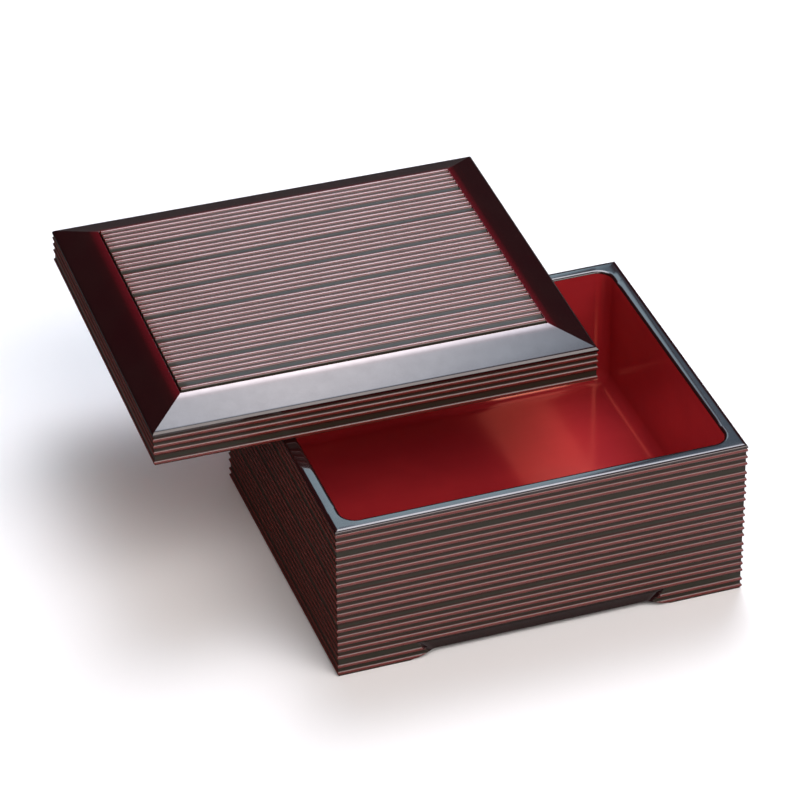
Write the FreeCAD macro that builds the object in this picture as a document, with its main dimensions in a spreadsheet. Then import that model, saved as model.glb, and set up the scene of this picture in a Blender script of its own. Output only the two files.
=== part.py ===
import FreeCAD, Part
import math
import os
import Sketcher

# Lacquered lunch box with a loose overlapping lid, laid askew on the rim.
# Millimetres, +Z up.  The origin is the centre of the box's base, on the ground plane.
# Every board is modelled in its own frame: X along the board, its outer (crest) plane at y = 0,
# +Y into the box.  A Placement then turns it to its side.

os.makedirs("parts", exist_ok=True)
doc = FreeCAD.newDocument("lunch_box")
sheet = doc.addObject("Spreadsheet::Sheet", "Sizes")

SIZES = [
    # the box
    ("box_length", 180.0, "outside, crest to crest"),
    ("box_width", 150.0, "outside, crest to crest"),
    ("box_height", 74.0, "ground to the crown of the rim"),
    ("wall", 6.0, "board thickness, crest plane to inside face"),
    ("rim_roll", 1.0, "drop of the cushioned rim at its two edges"),
    ("rim_lip", 1.4, "height of the plain lip that runs round the top of the outside"),
    # the fine ridges of the outside
    ("ridge_relief", 0.6, "crest above the flat between ridges"),
    ("ridge_width", 1.8, "foot to foot of one ridge"),
    ("ridge_pitch", 3.4, "ridge to ridge inside a group"),
    ("group_pitch", 4.7, "last ridge of a group to the first of the next"),
    ("first_ridge", 2.6, "crown of the rim to the first ridge"),
    ("ridge_margin", 0.3, "least flat left below the lowest ridge"),
    # feet and the low arches between them
    ("foot_length", 31.6, "corner to the end of a foot, on the ground"),
    ("arch_rise", 2.6, "clear height between the feet"),
    ("arch_run", 8.2, "slanted end of a foot, along the board"),
    ("scoop_height", 8.4, "top of the scooped band above the ground"),
    ("scoop_run", 5.7, "slanted end of the scooped band, along the board"),
    ("scoop_depth", 2.0, "crest plane to the bottom of the scoop"),
    # the bottom and the filled inside corners
    ("floor_level", 17.0, "ground to the inside floor"),
    ("floor_thick", 6.0, "bottom board"),
    ("floor_tongue", 2.0, "how far the bottom board enters the walls"),
    ("corner_radius", 6.5, "filled upright corners inside"),
    ("cove_radius", 6.0, "filled edge between floor and walls"),
    # loose tongues hidden in the mitres
    ("key_width", 4.0, "across the mitre"),
    ("key_thick", 1.5, "along the mitre"),
    ("key_inset", 3.2, "outer planes to the middle of the tongue"),
    ("key_stop", 8.0, "end of the tongue to the top and the bottom of the box"),
    ("lid_key_stop", 2.0, "end of the tongue to the ceiling and the edge of the lid"),
    # the lid
    ("lid_clearance", 1.0, "between the box and the lid's skirt when closed"),
    ("skirt", 6.2, "thickness of the lid's skirt"),
    ("lid_side", 16.0, "height of the lid's side, up to the bevel"),
    ("frame_width", 16.8, "bevelled frame, outer plane to its inner edge"),
    ("bevel_rise", 6.0, "rise of the bevel over the frame"),
    ("edge_chamfer", 0.9, "small chamfer along the bevel's outer edge"),
    ("lid_depth", 11.0, "skirt's edge to the lid's ceiling"),
    ("backing_thick", 4.0, "board that forms the ceiling and carries the panel"),
    ("lid_lip", 1.6, "plain lip under the bevel's outer edge"),
    ("lid_first_ridge", 3.7, "bevel's outer edge to the first ridge of the side"),
    ("lid_ridge_pitch", 3.15, "ridge to ridge on the lid's side"),
    ("lid_last_ridge", 1.2, "lid's lower edge to its lowest ridge"),
    ("lid_group_pitch", 4.7, "least step from the upper ridges to the lowest one"),
    # the ribbed panel set into the frame
    ("panel_gap", 0.6, "shadow groove between frame and panel"),
    ("panel_rise", 0.5, "flat of the panel above the frame's inner edge"),
    ("rib_relief", 0.8, "crest of a rib above the flat of the panel"),
    ("rib_width", 2.5, "foot to foot of one rib"),
    ("rib_pitch", 3.37, "rib to rib inside a group"),
    ("rib_group_pitch", 5.1, "last rib of a group to the first of the next"),
    ("rib_margin", 1.25, "panel's back and front edges to the middle of the nearest rib"),
    # how the lid lies on the box
    ("lid_shift_x", -47.0, "lid's middle from the box's middle, along the length"),
    ("lid_shift_y", 74.0, "lid's middle from the box's middle, along the width"),
    ("lid_turn", -0.9, "degrees, seen from above"),
    ("rest_gap", 0.15, "crown of the rim to the lid's lower edge"),
]
TOP_GROUP = 3      # ridges in the group next to the rim
GROUP = 5          # ridges in every other group, and ribs in a group
CHAMFER_UP = 1 / 3             # share of the edge chamfer's height that lies above the bevel's foot
HALF_ALONG_MITRE = math.sqrt(0.5) / 2   # step along X, and along Y, of half a length laid at 45 degrees
LEAST_CUT = 1e-3               # cubic millimetres that a cut takes away at the very least
SAME_LEVEL = 1e-4              # millimetres between heights that count as one
NEARLY_UPRIGHT = 0.99          # share of an upright edge's length that is height


class Size:
    """A number together with the sheet expression that gives it."""

    def __init__(self, value, text):
        self.value = value
        self.text = text

    def __add__(self, other):
        return combine(self, other, "+")

    def __radd__(self, other):
        return combine(other, self, "+")

    def __sub__(self, other):
        return combine(self, other, "-")

    def __rsub__(self, other):
        return combine(other, self, "-")

    def __mul__(self, other):
        return combine(self, other, "*")

    def __rmul__(self, other):
        return combine(other, self, "*")

    def __truediv__(self, other):
        return combine(self, other, "/")

    def __neg__(self):
        return combine(0.0, self, "-")


def as_size(number):
    """A plain number as a Size."""
    return number if isinstance(number, Size) else Size(float(number), repr(float(number)))


def combine(left, right, sign):
    """Arithmetic on two sizes, on the numbers and on the expressions alike."""
    a = as_size(left)
    b = as_size(right)
    results = {"+": a.value + b.value, "-": a.value - b.value, "*": a.value * b.value}
    value = a.value / b.value if sign == "/" else results[sign]
    return Size(value, "(" + a.text + " " + sign + " " + b.text + ")")


for row, (alias, number, note) in enumerate(SIZES, start=1):
    sheet.set("A%d" % row, alias)
    sheet.set("B%d" % row, str(number))
    sheet.set("C%d" % row, note)
    sheet.setAlias("B%d" % row, alias)
doc.recompute()
size = {alias: Size(float(sheet.get(alias)), "Sizes." + alias) for alias, number, note in SIZES}

# Sizes that follow from the ones above.
floor_under = size["floor_level"] - size["floor_thick"]
inner_length = size["box_length"] - 2 * size["wall"]
inner_width = size["box_width"] - 2 * size["wall"]
rim_edge = size["box_height"] - size["rim_roll"]
lid_length = size["box_length"] + 2 * (size["lid_clearance"] + size["skirt"])
lid_width = size["box_width"] + 2 * (size["lid_clearance"] + size["skirt"])
backing_top = size["lid_depth"] + size["backing_thick"]
frame_top = size["lid_side"] + size["bevel_rise"]
panel_top = frame_top + size["panel_rise"]
panel_length = lid_length - 2 * (size["frame_width"] + size["panel_gap"])
panel_width = lid_width - 2 * (size["frame_width"] + size["panel_gap"])
lid_level = size["box_height"] + size["rest_gap"]


# ---- helpers for bodies, sketches and features ----

def new_body(label):
    """An empty body that carries its own label."""
    body = doc.addObject("PartDesign::Body", label)
    body.Label = label
    return body


def new_sketch(body, name, role, lift=None):
    """A sketch on one of the body's own origin planes, raised along its normal by lift."""
    sketch = body.newObject("Sketcher::SketchObject", name)
    plane = [item for item in body.Origin.OriginFeatures if item.Role == role][0]
    sketch.AttachmentSupport = [(plane, "")]
    sketch.MapMode = "FlatFace"
    if lift is not None:
        sketch.setExpression("AttachmentOffset.Base.z", lift.text)
    return sketch


def arc_between(start, end, radius):
    """The arc from start anticlockwise to end; its centre lies on the left of the chord."""
    chord = end - start
    left = FreeCAD.Vector(-chord.y, chord.x, 0)
    left.normalize()
    reach = math.sqrt(radius ** 2 - (chord.Length / 2) ** 2)
    centre = start + chord * 0.5 + left * reach
    from_angle = math.atan2(start.y - centre.y, start.x - centre.x)
    to_angle = math.atan2(end.y - centre.y, end.x - centre.x)
    if to_angle < from_angle:
        to_angle += 2 * math.pi
    return Part.ArcOfCircle(Part.Circle(centre, FreeCAD.Vector(0, 0, 1), radius), from_angle, to_angle)


def draw_loops(sketch, loops, crowned=None, radius=None):
    """Closed outlines through lists of points, each point bound to the sheet.

    Points run anticlockwise.  In every loop the side that starts at index `crowned` is an arc
    of the given radius, which stands out of the loop.
    """
    geometry = []
    constraints = []
    expressions = []
    for points in loops:
        corners = [(as_size(x), as_size(y)) for x, y in points]
        places = [FreeCAD.Vector(x.value, y.value, 0) for x, y in corners]
        first = len(geometry)
        count = len(corners)
        for i in range(count):
            start = places[i]
            end = places[(i + 1) % count]
            if i == crowned:
                geometry.append(arc_between(start, end, radius.value))
            else:
                geometry.append(Part.LineSegment(start, end))
            constraints.append(Sketcher.Constraint("Coincident", first + i, 2, first + (i + 1) % count, 1))
        for i, corner in enumerate(corners):
            for kind, length in (("DistanceX", corner[0]), ("DistanceY", corner[1])):
                expressions.append((len(constraints), length))
                constraints.append(Sketcher.Constraint(kind, -1, 1, first + i, 1, length.value))
        if crowned is not None:
            expressions.append((len(constraints), radius))
            constraints.append(Sketcher.Constraint("Radius", first + crowned, radius.value))
    sketch.addGeometry(geometry, False)
    sketch.addConstraint(constraints)
    for index, length in expressions:
        sketch.setExpression("Constraints[%d]" % index, length.text)


def crown_radius(chord, rise):
    """Radius of an arc over a chord with a given rise."""
    return (chord * chord / 4 + rise * rise) / (2 * rise)


def pad(body, sketch, name, length, symmetric=True, backwards=False):
    """Extrude a sketch; symmetric pads run half each way."""
    feature = body.newObject("PartDesign::Pad", name)
    feature.Profile = sketch
    feature.SideType = "Symmetric" if symmetric else "One side"
    feature.Reversed = backwards
    feature.setExpression("Length", length.text)
    doc.recompute()
    return feature


def pocket(body, sketch, name, length=None, backwards=False):
    """Cut a sketch out of the body: through everything both ways, or to a depth one way."""
    before = body.Shape.Volume
    feature = body.newObject("PartDesign::Pocket", name)
    feature.Profile = sketch
    feature.Reversed = backwards
    if length is None:
        feature.Type = "ThroughAll"
        feature.SideType = "Symmetric"
    else:
        feature.Type = "Length"
        feature.SideType = "One side"
        feature.setExpression("Length", length.text)
    doc.recompute()
    if body.Shape.Volume > before - LEAST_CUT:
        raise RuntimeError(body.Label + ": " + name + " removed nothing")
    return feature


def place(thing, x, y, z, turn):
    """Put an object at x, y, z, turned about Z by a number of degrees."""
    upright = FreeCAD.Rotation(FreeCAD.Vector(0, 0, 1), turn.value)
    thing.Placement = FreeCAD.Placement(FreeCAD.Vector(x.value, y.value, z.value), upright)
    thing.setExpression("Placement.Base.x", x.text)
    thing.setExpression("Placement.Base.y", y.text)
    thing.setExpression("Placement.Base.z", z.text)
    thing.setExpression("Placement.Rotation.Angle", turn.text)


# ---- profiles ----

def ridge_heights():
    """Heights of the ridges' middles on the box, from the rim down: a group of three, then fives."""
    lowest = size["ridge_width"].value / 2 + size["ridge_margin"].value
    heights = []
    level = size["box_height"] - size["first_ridge"]
    left_in_group = TOP_GROUP
    while level.value >= lowest:
        heights.append(level)
        left_in_group -= 1
        if left_in_group == 0:
            left_in_group = GROUP
            level = level - size["group_pitch"]
        else:
            level = level - size["ridge_pitch"]
    return heights


def lid_ridge_heights():
    """Heights of the ridges' middles on the lid's side: an even run, then one at the lower edge."""
    heights = [size["lid_last_ridge"]]
    level = size["lid_side"] - size["lid_first_ridge"]
    while level.value >= (size["lid_last_ridge"] + size["lid_group_pitch"]).value:
        heights.append(level)
        level = level - size["lid_ridge_pitch"]
    return heights


def rib_places():
    """Distances of the ribs' middles from the panel's back edge: fives, then one at the front edge."""
    last = panel_width - size["rib_margin"]
    places = [last]
    distance = size["rib_margin"]
    left_in_group = GROUP
    while distance.value <= (last - size["rib_width"]).value:
        places.append(distance)
        left_in_group -= 1
        if left_in_group == 0:
            left_in_group = GROUP
            distance = distance + size["rib_group_pitch"]
        else:
            distance = distance + size["rib_pitch"]
    return places


def draw_wall_ridges(sketch, heights):
    """Ridges of a side face: each an arc whose chord lies in the flat at y = ridge_relief."""
    half = size["ridge_width"] / 2
    foot = size["ridge_relief"]
    radius = crown_radius(size["ridge_width"], size["ridge_relief"])
    chords = [[(foot, level + half), (foot, level - half)] for level in heights]
    draw_loops(sketch, chords, crowned=0, radius=radius)


def cut_mitres(body, length, thickness):
    """Cut both ends at 45 degrees, from the outer corner inwards."""
    sketch = new_sketch(body, "MitreSketch", "XY_Plane")
    half = length / 2
    draw_loops(sketch, [[(-half, 0), (thickness - half, thickness), (-half, thickness)],
                        [(half, 0), (half, thickness), (half - thickness, thickness)]])
    pocket(body, sketch, "Mitres")


def key_corners(inset_x, inset_y, side):
    """Plan corners of a tongue, square across the 45 degree mitre, around its middle."""
    reach = size["key_width"] * HALF_ALONG_MITRE
    waist = size["key_thick"] * HALF_ALONG_MITRE
    corners = [(reach - waist, -reach - waist), (reach + waist, waist - reach),
               (waist - reach, reach + waist), (-reach - waist, reach - waist)]
    if side < 0:
        corners = [(-x, y) for x, y in reversed(corners)]
    return [(inset_x + x, inset_y + y) for x, y in corners]


def cut_key_slots(body, length, low, high):
    """Half a slot for a hidden tongue in each mitred end, between two heights."""
    sketch = new_sketch(body, "KeySlotSketch", "XY_Plane", lift=low)
    near = size["key_inset"]
    draw_loops(sketch, [key_corners(near - length / 2, near, 1),
                        key_corners(length / 2 - near, near, -1)])
    pocket(body, sketch, "KeySlots", length=high - low, backwards=True)


# ---- the box ----

def wall_board(label, length, arched):
    """One ribbed side of the box, mitred at both ends and grooved for the bottom board."""
    body = new_body(label)
    wall = size["wall"]
    relief = size["ridge_relief"]
    section = new_sketch(body, "SectionSketch", "YZ_Plane")
    lip_foot = size["box_height"] - size["rim_lip"]
    draw_loops(section, [[(relief, 0), (wall, 0), (wall, rim_edge), (0, rim_edge), (0, lip_foot),
                          (relief, lip_foot)]], crowned=2, radius=crown_radius(wall, size["rim_roll"]))
    pad(body, section, "Blank", length)
    ridges = new_sketch(body, "RidgeSketch", "YZ_Plane")
    draw_wall_ridges(ridges, ridge_heights())
    pad(body, ridges, "Ridges", length)
    groove = new_sketch(body, "GrooveSketch", "YZ_Plane")
    deep = wall - size["floor_tongue"]
    draw_loops(groove, [[(deep, floor_under), (wall, floor_under), (wall, size["floor_level"]),
                         (deep, size["floor_level"])]])
    pocket(body, groove, "FloorGroove")
    if arched:
        cut_arch(body, length)
    cut_key_slots(body, length, size["key_stop"], size["box_height"] - size["key_stop"])
    cut_mitres(body, length, wall)
    return body


def cut_arch(body, length):
    """Raise the lower edge between the feet, and scoop the face above it back."""
    foot_end = length / 2 - size["foot_length"]
    arch_end = foot_end - size["arch_run"]
    scoop_end = arch_end - size["scoop_run"]
    scoop = new_sketch(body, "ScoopSketch", "XZ_Plane")
    draw_loops(scoop, [[(-foot_end, 0), (foot_end, 0), (arch_end, size["arch_rise"]),
                        (scoop_end, size["scoop_height"]), (-scoop_end, size["scoop_height"]),
                        (-arch_end, size["arch_rise"])]])
    pocket(body, scoop, "Scoop", length=size["scoop_depth"])
    arch = new_sketch(body, "ArchSketch", "XZ_Plane")
    draw_loops(arch, [[(-foot_end, 0), (foot_end, 0), (arch_end, size["arch_rise"]),
                       (-arch_end, size["arch_rise"])]])
    pocket(body, arch, "Arch")


def corner_key(label, low, high):
    """A loose tongue that bridges one mitre."""
    body = new_body(label)
    sketch = new_sketch(body, "KeySketch", "XY_Plane")
    draw_loops(sketch, [key_corners(as_size(0), as_size(0), 1)])
    pad(body, sketch, "Tongue", high - low, symmetric=False)
    return body


def plain_board(label, length, width, thickness):
    """A flat rectangular board centred on its own origin, its underside at z = 0."""
    body = new_body(label)
    sketch = new_sketch(body, "BoardSketch", "XY_Plane")
    draw_loops(sketch, [[(-length / 2, -width / 2), (length / 2, -width / 2),
                         (length / 2, width / 2), (-length / 2, width / 2)]])
    pad(body, sketch, "Board", thickness, symmetric=False)
    return body


def bound_box(name, length, width, height, x, y, z):
    """A rectangular block, its extents and its place bound to the sheet."""
    block = doc.addObject("Part::Box", name)
    for axis, extent in (("Length", length), ("Width", width), ("Height", height)):
        block.setExpression(axis, as_size(extent).text)
    place(block, as_size(x), as_size(y), as_size(z), as_size(0))
    return block


def inside_filling():
    """What fills the sharp inside edges: the square cavity less the rounded one."""
    height = rim_edge - size["floor_level"]
    sharp = bound_box("SharpCavity", inner_length, inner_width, height,
                      -inner_length / 2, -inner_width / 2, size["floor_level"])
    rounded = plain_board("RoundedCavity", inner_length, inner_width, height)
    place(rounded, as_size(0), as_size(0), size["floor_level"], as_size(0))
    add_fillet(rounded, "UprightCorners", size["corner_radius"], upright_edges)
    add_fillet(rounded, "FloorCove", size["cove_radius"], lowest_edges)
    filling = doc.addObject("Part::Cut", "InsideFilling")
    filling.Base = sharp
    filling.Tool = rounded
    doc.recompute()
    return filling


def upright_edges(shape):
    """Names of the edges that run up."""
    return ["Edge%d" % i for i, edge in enumerate(shape.Edges, start=1)
            if edge.BoundBox.ZLength > edge.BoundBox.DiagonalLength * NEARLY_UPRIGHT]


def lowest_edges(shape):
    """Names of the edges that lie in the underside."""
    return ["Edge%d" % i for i, edge in enumerate(shape.Edges, start=1)
            if edge.BoundBox.ZMax < shape.BoundBox.ZMin + SAME_LEVEL]


def add_fillet(body, name, radius, choose):
    """Round the chosen edges of the body's tip."""
    tip = body.Tip
    feature = body.newObject("PartDesign::Fillet", name)
    feature.Base = (tip, choose(tip.Shape))
    feature.setExpression("Radius", radius.text)
    doc.recompute()
    return feature


def common_part(label, first, second):
    """The overlap of two objects, as a piece of its own."""
    piece = doc.addObject("Part::Common", label)
    piece.Label = label
    piece.Base = first
    piece.Tool = second
    return piece


def corner_filling(label, filling, side_x, side_y):
    """The upright filling of one inside corner, above the floor's cove."""
    level = size["floor_level"] + size["cove_radius"]
    reach = size["corner_radius"]
    x = inner_length / 2 - reach if side_x > 0 else -inner_length / 2
    y = inner_width / 2 - reach if side_y > 0 else -inner_width / 2
    block = bound_box(label + "_block", reach, reach, rim_edge - level, x, y, level)
    return common_part(label, filling, block)


def cove_filling(label, filling, along, across, turn):
    """The filling between the floor and one wall, mitred at the corners."""
    reach = 2 * size["corner_radius"]
    half = along / 2
    face = across / 2
    wedge = new_body(label + "_wedge")
    sketch = new_sketch(wedge, "WedgeSketch", "XY_Plane")
    draw_loops(sketch, [[(-half, -face), (half, -face), (half - reach, reach - face),
                         (reach - half, reach - face)]])
    pad(wedge, sketch, "Wedge", size["cove_radius"], symmetric=False)
    place(wedge, as_size(0), as_size(0), size["floor_level"], as_size(turn))
    return common_part(label, filling, wedge)


# ---- the lid ----

def lid_rail(label, length):
    """One bevelled rail of the lid's frame with its ribbed skirt, mitred at both ends."""
    body = new_body(label)
    relief = size["ridge_relief"]
    skirt = size["skirt"]
    frame = size["frame_width"]
    side = size["lid_side"]
    chamfer = size["edge_chamfer"]
    section = new_sketch(body, "SectionSketch", "YZ_Plane")
    draw_loops(section, [[(relief, 0), (skirt, 0), (skirt, backing_top), (frame, backing_top),
                          (frame, frame_top), (chamfer, side + chamfer * CHAMFER_UP),
                          (0, side - chamfer * (1 - CHAMFER_UP)), (0, side - size["lid_lip"]),
                          (relief, side - size["lid_lip"])]])
    pad(body, section, "Blank", length)
    ridges = new_sketch(body, "RidgeSketch", "YZ_Plane")
    draw_wall_ridges(ridges, lid_ridge_heights())
    pad(body, ridges, "Ridges", length)
    cut_key_slots(body, length, size["lid_key_stop"], size["lid_depth"] - size["lid_key_stop"])
    cut_mitres(body, length, frame)
    return body


def ribbed_panel(label):
    """The panel let into the frame: a board with fine ribs along its length."""
    body = plain_board(label, panel_length, panel_width, panel_top - backing_top)
    ribs = new_sketch(body, "RibSketch", "YZ_Plane")
    half = size["rib_width"] / 2
    back = panel_width / 2
    flat = panel_top - backing_top
    radius = crown_radius(size["rib_width"], size["rib_relief"])
    middles = [back - distance for distance in rib_places()]
    chords = [[(middle + half, flat), (middle - half, flat)] for middle in middles]
    draw_loops(ribs, chords, crowned=0, radius=radius)
    pad(body, ribs, "Ribs", panel_length)
    return body


def place_on_lid(thing, x, y, z, turn):
    """Put an object at x, y, z of the lid's own frame, the lid lying askew on the rim."""
    angle = math.radians(size["lid_turn"].value)
    cosine = Size(math.cos(angle), "cos(%s * 1deg)" % size["lid_turn"].text)
    sine = Size(math.sin(angle), "sin(%s * 1deg)" % size["lid_turn"].text)
    place(thing, size["lid_shift_x"] + x * cosine - y * sine,
          size["lid_shift_y"] + x * sine + y * cosine, lid_level + z, turn + size["lid_turn"])


def side_middle(side, out):
    """Plan place of a side's middle, at the distance out from the centre."""
    ways = {"front": (ZERO, -out), "right": (out, ZERO), "back": (ZERO, out), "left": (-out, ZERO)}
    return ways[side]


# ---- build every piece ----

ZERO = as_size(0)
pieces = []

# Turns are whole circles or less and never negative, so that the axis of a placement stays +Z.
SIDES = [("front", 360), ("right", 90), ("back", 180), ("left", 270)]
for side, turn in SIDES:
    is_long = side in ("front", "back")
    run = size["box_length"] if is_long else size["box_width"]
    board = wall_board(side + "_board", run, is_long)
    out = (size["box_width"] if is_long else size["box_length"]) / 2
    x, y = side_middle(side, out)
    place(board, x, y, ZERO, as_size(turn))
    pieces.append(board)

bottom = plain_board("bottom_board", inner_length + 2 * size["floor_tongue"],
                     inner_width + 2 * size["floor_tongue"], size["floor_thick"])
place(bottom, ZERO, ZERO, floor_under, ZERO)
pieces.append(bottom)

CORNERS = [("front_left", -1, -1, 360), ("front_right", 1, -1, 90),
           ("back_right", 1, 1, 180), ("back_left", -1, 1, 270)]
filling = inside_filling()
for corner, side_x, side_y, turn in CORNERS:
    key = corner_key("corner_key_" + corner, size["key_stop"], size["box_height"] - size["key_stop"])
    place(key, side_x * (size["box_length"] / 2 - size["key_inset"]),
          side_y * (size["box_width"] / 2 - size["key_inset"]), size["key_stop"], as_size(turn))
    pieces.append(key)
    pieces.append(corner_filling("corner_filling_" + corner, filling, side_x, side_y))
for side, turn in SIDES:
    is_long = side in ("front", "back")
    along = inner_length if is_long else inner_width
    across = inner_width if is_long else inner_length
    pieces.append(cove_filling("cove_filling_" + side, filling, along, across, turn))

for side, turn in SIDES:
    is_long = side in ("front", "back")
    rail = lid_rail("lid_" + side + "_rail", lid_length if is_long else lid_width)
    out = (lid_width if is_long else lid_length) / 2
    x, y = side_middle(side, out)
    place_on_lid(rail, x, y, ZERO, turn)
    pieces.append(rail)
for corner, side_x, side_y, turn in CORNERS:
    key = corner_key("lid_key_" + corner, size["lid_key_stop"], size["lid_depth"] - size["lid_key_stop"])
    place_on_lid(key, side_x * (lid_length / 2 - size["key_inset"]),
                 side_y * (lid_width / 2 - size["key_inset"]), size["lid_key_stop"], turn)
    pieces.append(key)

backing = plain_board("lid_backing_board", lid_length - 2 * size["skirt"],
                      lid_width - 2 * size["skirt"], size["backing_thick"])
place_on_lid(backing, ZERO, ZERO, size["lid_depth"], 360)
pieces.append(backing)
panel = ribbed_panel("lid_ribbed_panel")
place_on_lid(panel, ZERO, ZERO, backing_top, 360)
pieces.append(panel)

doc.recompute()
for item in doc.Objects:
    if "Invalid" in item.State or "Error" in item.State:
        raise RuntimeError(item.Name + " failed: " + ", ".join(item.State))
for piece in pieces:
    if piece.Shape.isNull() or not piece.Shape.isValid() or len(piece.Shape.Solids) != 1:
        raise RuntimeError(piece.Label + " is not one valid solid")
for piece in pieces:
    piece.Shape.exportStep("parts/" + piece.Label + ".step")
print(len(pieces), "pieces written")
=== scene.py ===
"""The looks of a lacquered lunch box with a loose overlapping lid, laid out as an add-on.

Every wall, rail, filling and panel is an outline carried along a line, worked out with numpy.
Metres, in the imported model's own frame: +Z up, the origin at the centre of the box's base.
"""
import math

import bpy
import numpy as np
from bpy.props import FloatProperty, FloatVectorProperty, IntProperty, PointerProperty
from mathutils import Matrix, Vector


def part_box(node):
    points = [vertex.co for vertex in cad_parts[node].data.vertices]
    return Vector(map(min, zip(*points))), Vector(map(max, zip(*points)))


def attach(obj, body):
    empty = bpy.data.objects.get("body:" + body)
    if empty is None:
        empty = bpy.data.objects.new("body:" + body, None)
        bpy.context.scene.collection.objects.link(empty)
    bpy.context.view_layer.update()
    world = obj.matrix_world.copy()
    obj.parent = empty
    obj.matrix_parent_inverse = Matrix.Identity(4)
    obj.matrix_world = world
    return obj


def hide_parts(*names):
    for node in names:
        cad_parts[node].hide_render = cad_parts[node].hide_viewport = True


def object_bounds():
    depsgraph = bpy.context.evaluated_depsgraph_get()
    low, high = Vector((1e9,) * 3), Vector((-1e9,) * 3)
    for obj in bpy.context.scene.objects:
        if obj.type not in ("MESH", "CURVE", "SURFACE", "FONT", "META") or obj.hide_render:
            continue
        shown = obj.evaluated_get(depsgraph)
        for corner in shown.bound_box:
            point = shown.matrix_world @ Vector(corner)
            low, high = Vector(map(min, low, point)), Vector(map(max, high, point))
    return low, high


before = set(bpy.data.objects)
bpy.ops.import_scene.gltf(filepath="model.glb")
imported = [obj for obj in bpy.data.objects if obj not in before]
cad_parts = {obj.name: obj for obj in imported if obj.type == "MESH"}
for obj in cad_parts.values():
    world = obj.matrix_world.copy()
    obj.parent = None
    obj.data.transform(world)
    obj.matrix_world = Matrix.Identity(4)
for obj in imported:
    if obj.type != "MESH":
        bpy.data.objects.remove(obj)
CAD_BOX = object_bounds()

bl_info = {
    "name": "Lacquered Lunch Box",
    "version": (1, 0, 0),
    "blender": (4, 5, 0),
    "location": "3D View > Sidebar > Lunch Box",
    "description": "Builds a ribbed lacquer lunch box and its lid around a packed frame",
    "category": "Add Mesh",
}

MM = 0.001
MICRON = 0.001 * MM

FEATHER = 0.02 * MM            # least thickness of a filling where it runs out against a wall
SHARP_FOLD = math.radians(38)  # faces that meet at more than this keep a sharp edge
EVEN_STATIONS = 25             # outlines along a board before more are added where it changes
RIM_POINTS = 240               # points of each fine profile, which soften() thins out later
WALL_POINTS = 2600
RAIL_POINTS = 600
PANEL_POINTS = 5200
WALL_TURN = math.radians(9)    # most that a span of a wall's outline turns
SCOOP_RUN = 0.3 * MM           # longest span of a wall's outline as high as the scoop
SCOOP_STEP = 0.42 * MM         # step along a board where its feet and scoop begin
CORNER_STEP = 0.9 * MM         # step along a board where the filled corner rounds its rim
CHAMFER_UP = 1 / 3             # share of the edge chamfer's height above the bevel's foot
ONE_GROUP = 99                 # more ridges than a group can have, so that it never ends
SAG = 0.06 * MM                # how far a flat board dips in its middle
GLOW_REACH = 1.4               # fall of the glow beside the panel, in widths of the edge chamfer
EASING = 1.5                   # radius of the ribs' rounded ends, in coats of lacquer
EASED_BEND = 2500.0            # bend and crest that those rounded ends show the finish
EASED_CREST = 0.3
FLOOR_SIDES = 96
# Painted shade in the floor's reflections: from this edge backwards the mirrored floor is painted
# dark.
REFLECTION_SHADE_EDGE = (-0.085, -0.07)    # where, along Y, the floor's reflection goes dark

# Places of stretches in the outlines of walls, rails and boards.
WALL_OUTSIDE, WALL_UNDERSIDE, WALL_INSIDE, WALL_RIM = range(4)
RAIL_SIDE, RAIL_SKIRT, RAIL_TOP = 0, 2, 4
BOARD_UNDER, BOARD_OVER = range(2)


def extent(node, axis):
    """How far a CAD node reaches along one axis."""
    low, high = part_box(node)
    return high[axis] - low[axis]


def length(name, text, default):
    """A length that a user may change."""
    return FloatProperty(name=name, description=text, default=default, unit="LENGTH", precision=5)


def angle(name, text, degrees):
    """An angle that a user may change."""
    return FloatProperty(name=name, description=text, default=math.radians(degrees),
                         subtype="ANGLE")


def colour(name, text, default):
    """A colour that a user may change."""
    return FloatVectorProperty(name=name, description=text, default=default, subtype="COLOR",
                               size=3, min=0.0, max=1.0)


# ---- sizes and colours ----

class RidgeSizes(bpy.types.PropertyGroup):
    """The fine ridges of the outside and how the lacquer rounds every edge."""

    relief: length("Relief", "Crest above the flat between ridges", 0.6 * MM)
    width: length("Width", "Foot to foot of one ridge", 1.8 * MM)
    pitch: length("Pitch", "Ridge to ridge inside a group", 3.4 * MM)
    group_pitch: length("Group pitch", "Last ridge of a group to the first of the next", 4.7 * MM)
    margin: length("Margin", "Least flat left below the lowest ridge", 0.3 * MM)
    top_group: IntProperty(name="Top group", description="Ridges next to the rim", default=3)
    group: IntProperty(name="Group", description="Ridges in every other group", default=5)
    coat: length("Coat", "Radius to which the lacquer rounds a sharp edge", 0.1 * MM)


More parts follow.
